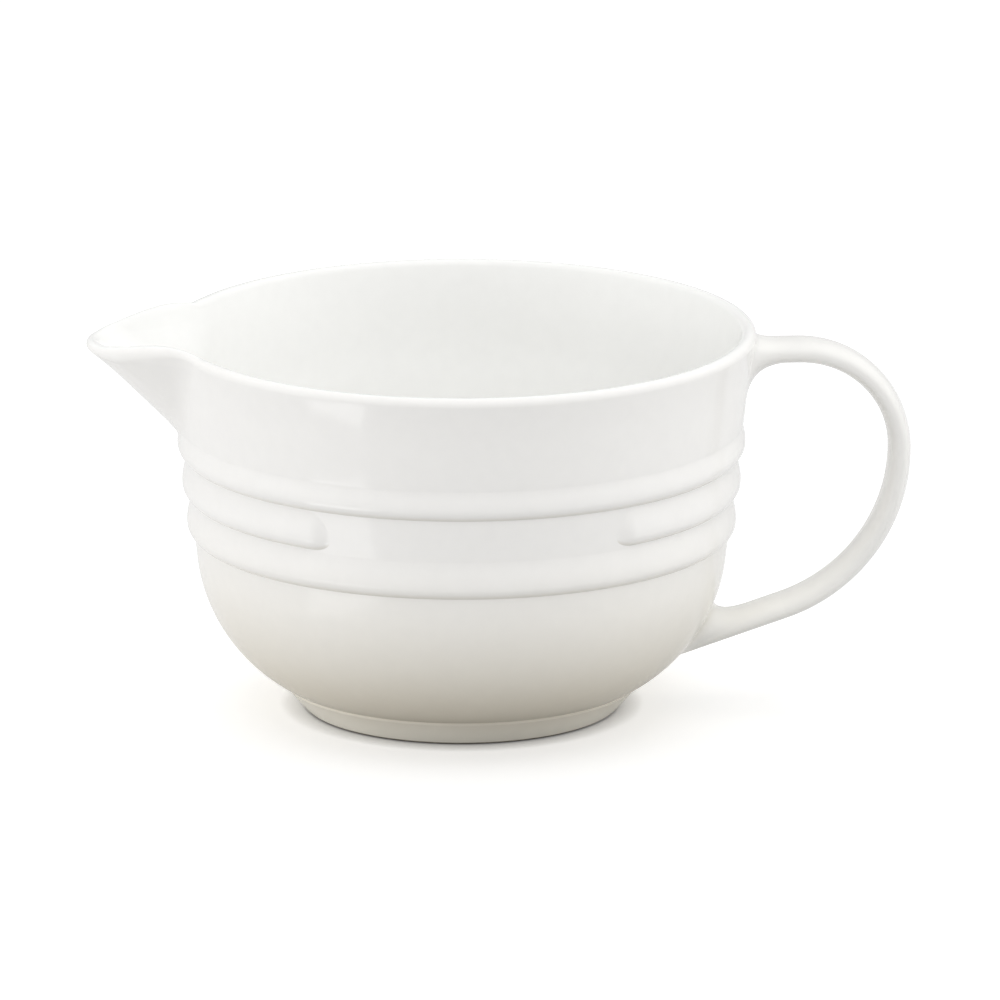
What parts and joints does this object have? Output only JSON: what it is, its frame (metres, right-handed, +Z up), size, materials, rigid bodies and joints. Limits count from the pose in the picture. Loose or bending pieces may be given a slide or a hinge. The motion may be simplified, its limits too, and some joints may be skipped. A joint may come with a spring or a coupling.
{
  "type": "batter bowl",
  "caption": "Round stoneware mixing bowl with a beak pouring spout, a strap handle opposite it, raised bands around the wall and a foot ring to stand on.",
  "frame": {"origin": "centre of the bowl's standing face on the table", "axes": "+Z up along the bowl's axis, +X from the axis towards the handle, so the spout points to -X and the bare panel faces -Y"},
  "size_m": [0.2881, 0.2058, 0.1381],
  "materials": {
    "cream_glaze": "gloss off-white glaze, warmer and darker towards the foot",
    "handle_glaze": "gloss off-white glaze",
    "foot_stoneware": "gloss glaze on the side, wiped bare stoneware on the standing face"
  },
  "bodies": {
    "root": {"bowl_body": "cream_glaze", "pour_spout": "cream_glaze", "foot_ring": "foot_stoneware", "upper_band": "cream_glaze", "middle_band": "cream_glaze", "lower_band": "cream_glaze", "handle": "handle_glaze", "upper_handle_joint": "handle_glaze", "lower_handle_joint": "handle_glaze"}
  },
  "joints": []
}
